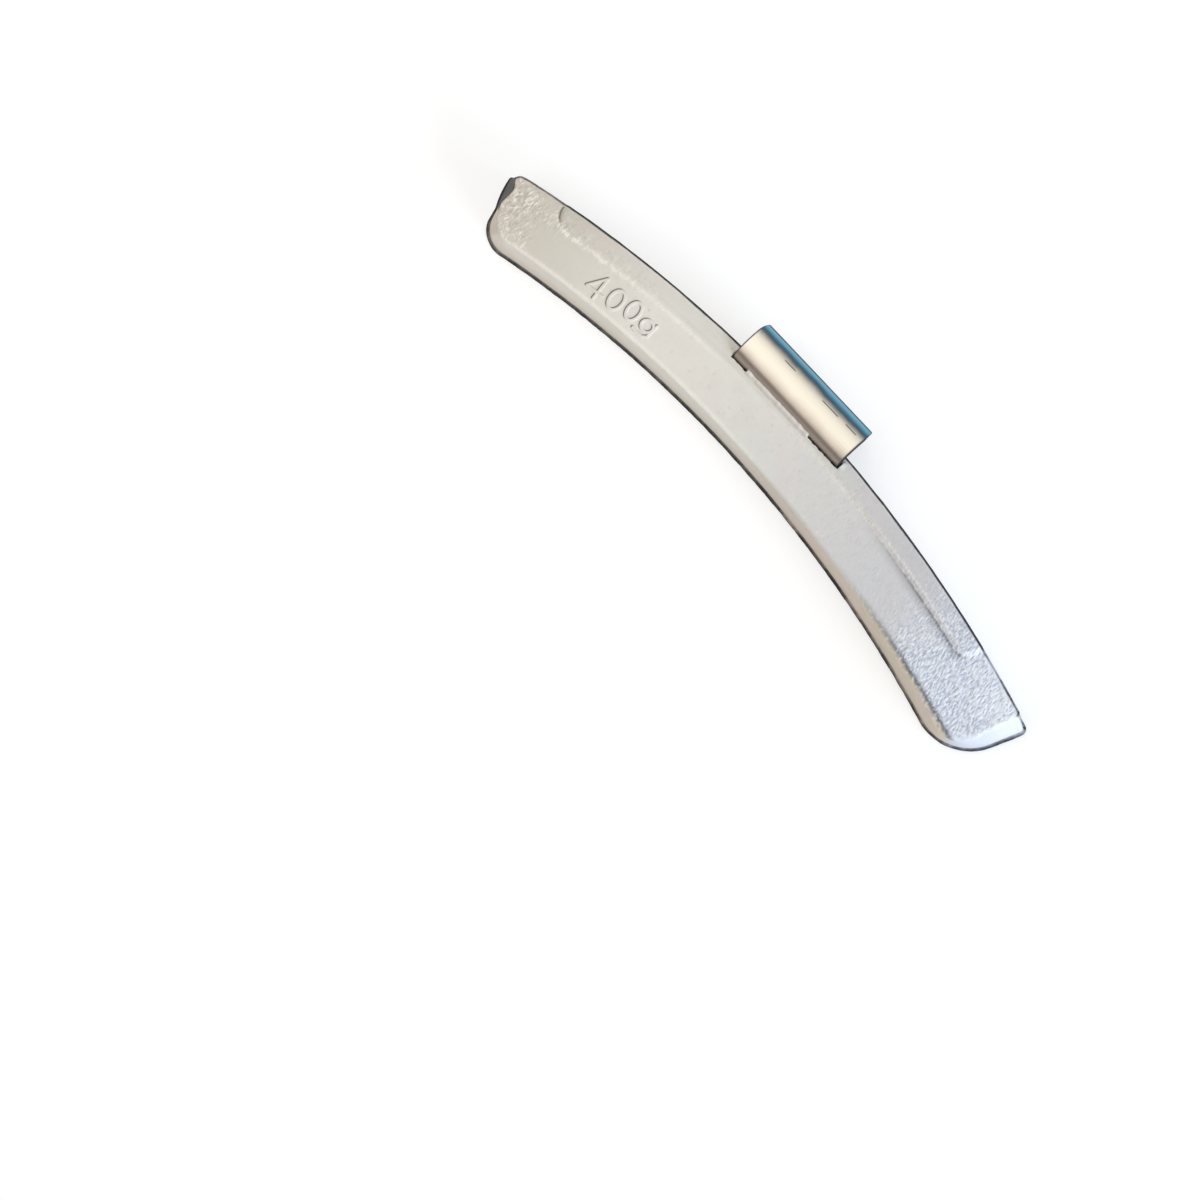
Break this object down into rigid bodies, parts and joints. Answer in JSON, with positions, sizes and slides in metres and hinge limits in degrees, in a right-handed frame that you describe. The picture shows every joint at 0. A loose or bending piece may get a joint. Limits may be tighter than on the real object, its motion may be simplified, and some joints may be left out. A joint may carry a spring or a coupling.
{
  "type": "wheel balance weight",
  "caption": "Curved cast bar with a spring clip cast into its outer edge, which hooks over the lip of a truck wheel's rim to balance the wheel.",
  "frame": {"origin": "on the flat back face, under the clip and near the middle of the bar's width", "axes": "+X along the bar, +Y away from the wheel's axle, +Z out of the front face"},
  "size_m": [0.1672, 0.0335, 0.0168],
  "materials": {
    "weight_body": "satin silver coating over a rough lead alloy casting",
    "spring_clip": "smooth zinc-plated spring steel"
  },
  "bodies": {
    "root": {"weight_body": "weight_body", "spring_clip": "spring_clip"}
  },
  "joints": []
}
